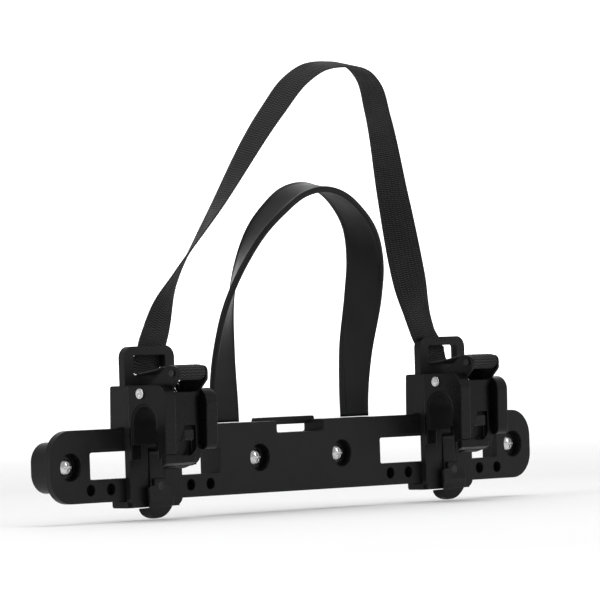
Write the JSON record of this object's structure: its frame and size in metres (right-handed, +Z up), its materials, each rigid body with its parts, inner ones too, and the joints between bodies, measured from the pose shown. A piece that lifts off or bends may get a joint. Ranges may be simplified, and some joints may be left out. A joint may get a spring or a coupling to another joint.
{
  "type": "quick-release hook rail",
  "caption": "Moulded rail with two sliding self-locking tube hooks, a webbing release strap and a rubber carrying handle, for hanging a bag on a rack tube.",
  "frame": {"origin": "centre of the rail's flat back face", "axes": "+X along the rail, +Y out of its back towards the bag, +Z up"},
  "size_m": [0.387, 0.0713, 0.2528],
  "materials": {
    "rail_plastic": "satin",
    "hook_plastic": "satin",
    "lever_plastic": "satin",
    "latch_plastic": "satin",
    "liner_rubber": "matte",
    "handle_rubber": "satin",
    "webbing": "woven",
    "bright_steel": "bright",
    "dark_steel": "black oxide"
  },
  "bodies": {
    "rail_body": {"rail": "rail_plastic", "rail_screws": "bright_steel", "rail_washers": "dark_steel", "handle_loop": "handle_rubber", "handle_pins": "dark_steel", "strap_loop": "webbing"},
    "left_unit": {"left_carrier": "rail_plastic", "left_hook": "hook_plastic", "left_hook_screws": "dark_steel", "left_liner": "liner_rubber", "left_pivot_pin": "bright_steel", "left_lever_spring": "bright_steel", "left_strap_end": "webbing", "left_latch_pin": "dark_steel"},
    "left_lever_body": {"left_lever": "lever_plastic", "left_webbing_pin": "dark_steel", "left_strap_roll": "webbing"},
    "left_latch_body": {"left_latch": "latch_plastic", "left_latch_peg": "dark_steel"},
    "right_unit": {"right_carrier": "rail_plastic", "right_hook": "hook_plastic", "right_hook_screws": "dark_steel", "right_liner": "liner_rubber", "right_pivot_pin": "bright_steel", "right_lever_spring": "bright_steel", "right_strap_end": "webbing", "right_latch_pin": "dark_steel"},
    "right_lever_body": {"right_lever": "lever_plastic", "right_webbing_pin": "dark_steel", "right_strap_roll": "webbing"},
    "right_latch_body": {"right_latch": "latch_plastic", "right_latch_peg": "dark_steel"}
  },
  "joints": [
    {"name": "left_slide", "type": "slide", "parent": "rail_body", "child": "left_unit", "axis": [1, 0, 0], "range_m": [-0.0304, 0.0304]},
    {"name": "left_release", "type": "hinge", "parent": "left_unit", "child": "left_lever_body", "pos_m": [-0.1184, -0.0302, 0.0387], "axis": [1, 0, 0], "range_deg": [-35, 0], "stiffness_Nm_per_rad": 0.12},
    {"name": "left_index", "type": "hinge", "parent": "left_unit", "child": "left_latch_body", "pos_m": [-0.1184, -0.0181, 0.006], "axis": [1, 0, 0], "range_deg": [0, 4.2]},
    {"name": "right_slide", "type": "slide", "parent": "rail_body", "child": "right_unit", "axis": [1, 0, 0], "range_m": [-0.0304, 0.0304]},
    {"name": "right_release", "type": "hinge", "parent": "right_unit", "child": "right_lever_body", "pos_m": [0.1184, -0.0302, 0.0387], "axis": [1, 0, 0], "range_deg": [-35, 0], "stiffness_Nm_per_rad": 0.12},
    {"name": "right_index", "type": "hinge", "parent": "right_unit", "child": "right_latch_body", "pos_m": [0.1184, -0.0181, 0.006], "axis": [1, 0, 0], "range_deg": [0, 4.2]}
  ]
}
